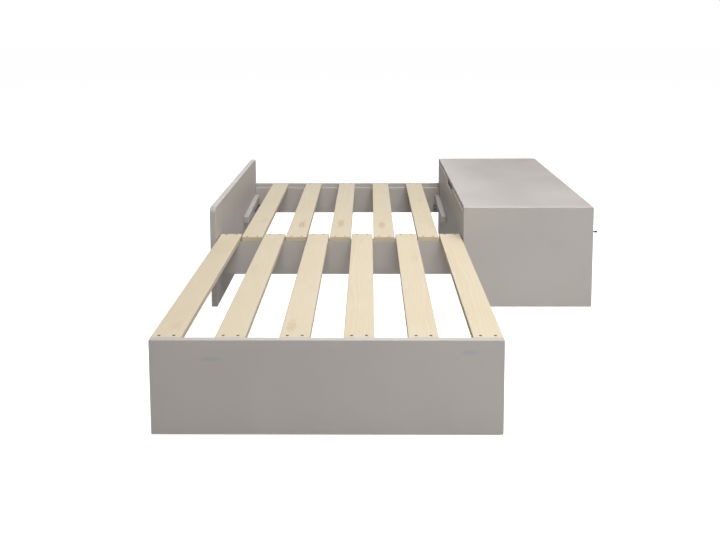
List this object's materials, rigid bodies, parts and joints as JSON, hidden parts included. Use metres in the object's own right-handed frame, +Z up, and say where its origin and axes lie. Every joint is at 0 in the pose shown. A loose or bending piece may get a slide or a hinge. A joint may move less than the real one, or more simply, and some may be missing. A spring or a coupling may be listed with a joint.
{
  "type": "pull-out slatted bed with storage chest",
  "caption": "Low slatted bed that pulls out like a drawer to full length, between an end board and a storage chest with a lift-up lid and side doors.",
  "frame": {"origin": "on the floor under the middle of the whole bed, with the sliding half pulled fully out", "axes": "+X from the end board to the chest, +Y from the front board to the back board, +Z up"},
  "size_m": [1.437, 2.06, 0.375],
  "materials": {
    "lacquered_board": "satin lacquer on fibreboard, warm grey",
    "slat_pine": "planed unfinished pine",
    "hidden_timber": "planed softwood",
    "screw_steel": "dull zinc, cross recess",
    "knob_metal": "satin, dark",
    "hinge_steel": "nickelled",
    "bracket_steel": "bright zinc",
    "wheel_plastic": "moulded, matt",
    "pad_plastic": "moulded, matt"
  },
  "bodies": {
    "fixed_unit": {"back_panel": "lacquered_board", "batten_screws": "screw_steel", "bracket_screws": "screw_steel", "chest_divider": "lacquered_board", "chest_dowels": "hidden_timber", "chest_floor": "lacquered_board", "chest_front_panel": "lacquered_board", "chest_rear_panel": "lacquered_board", "chest_side_panel": "lacquered_board", "door_hinge_fixed_leaves": "hinge_steel", "door_magnets": "pad_plastic", "end_panel": "lacquered_board", "fixed_slat_1": "slat_pine", "fixed_slat_2": "slat_pine", "fixed_slat_3": "slat_pine", "fixed_slat_4": "slat_pine", "fixed_slat_5": "slat_pine", "fixed_slat_screws": "screw_steel", "glide_pads": "pad_plastic", "ledge_screws": "screw_steel", "lid_bumpers": "pad_plastic", "lid_hinge_fixed_leaves": "hinge_steel", "mid_rail": "lacquered_board", "plinth_rail": "lacquered_board", "rail_brackets": "bracket_steel", "slat_ledge": "lacquered_board", "support_batten_left": "lacquered_board", "support_batten_right": "lacquered_board", "top_rail": "lacquered_board"},
    "pull_out": {"front_panel": "lacquered_board", "front_cleat": "hidden_timber", "rear_beam": "hidden_timber", "sliding_slat_screws": "screw_steel", "cleat_screws": "screw_steel", "castor_screws": "screw_steel", "castor_axles": "bracket_steel", "castor_fork_left": "bracket_steel", "castor_fork_right": "bracket_steel", "sliding_slat_1": "slat_pine", "sliding_slat_2": "slat_pine", "sliding_slat_3": "slat_pine", "sliding_slat_4": "slat_pine", "sliding_slat_5": "slat_pine", "sliding_slat_6": "slat_pine"},
    "left_castor": {"castor_wheel_left": "wheel_plastic"},
    "right_castor": {"castor_wheel_right": "wheel_plastic"},
    "chest_lid": {"lid": "lacquered_board", "lid_hinge_leaves": "hinge_steel", "lid_hinge_pins": "hinge_steel"},
    "front_door": {"front_door": "lacquered_board", "front_door_hinge_leaves": "hinge_steel", "front_door_hinge_pins": "hinge_steel", "front_door_strike": "hinge_steel", "front_door_knob": "knob_metal"},
    "rear_door": {"rear_door": "lacquered_board", "rear_door_hinge_leaves": "hinge_steel", "rear_door_hinge_pins": "hinge_steel", "rear_door_strike": "hinge_steel", "rear_door_knob": "knob_metal"}
  },
  "joints": [
    {"name": "pull_out_slide", "type": "slide", "parent": "fixed_unit", "child": "pull_out", "axis": [0, -1, 0], "range_m": [-0.965, 0]},
    {"name": "left_castor_spin", "type": "hinge", "parent": "pull_out", "child": "left_castor", "pos_m": [-0.6025, -0.981, 0.02], "axis": [1, 0, 0], "continuous": true},
    {"name": "right_castor_spin", "type": "hinge", "parent": "pull_out", "child": "right_castor", "pos_m": [0.1175, -0.981, 0.02], "axis": [1, 0, 0], "continuous": true},
    {"name": "lid_hinge", "type": "hinge", "parent": "fixed_unit", "child": "chest_lid", "pos_m": [0.6905, 0.4825, 0.3556], "axis": [0, 1, 0], "range_deg": [0, 85]},
    {"name": "front_door_hinge", "type": "hinge", "parent": "fixed_unit", "child": "front_door", "pos_m": [0.6905, 0.4721, 0.19], "axis": [0, 0, 1], "range_deg": [0, 85]},
    {"name": "rear_door_hinge", "type": "hinge", "parent": "fixed_unit", "child": "rear_door", "pos_m": [0.6905, 0.4929, 0.19], "axis": [0, 0, 1], "range_deg": [-85, 0]}
  ],
  "couplings": [
    {"joint": "left_castor_spin", "follows": "pull_out_slide", "rad_per_m": 50},
    {"joint": "right_castor_spin", "follows": "pull_out_slide", "rad_per_m": 50}
  ]
}
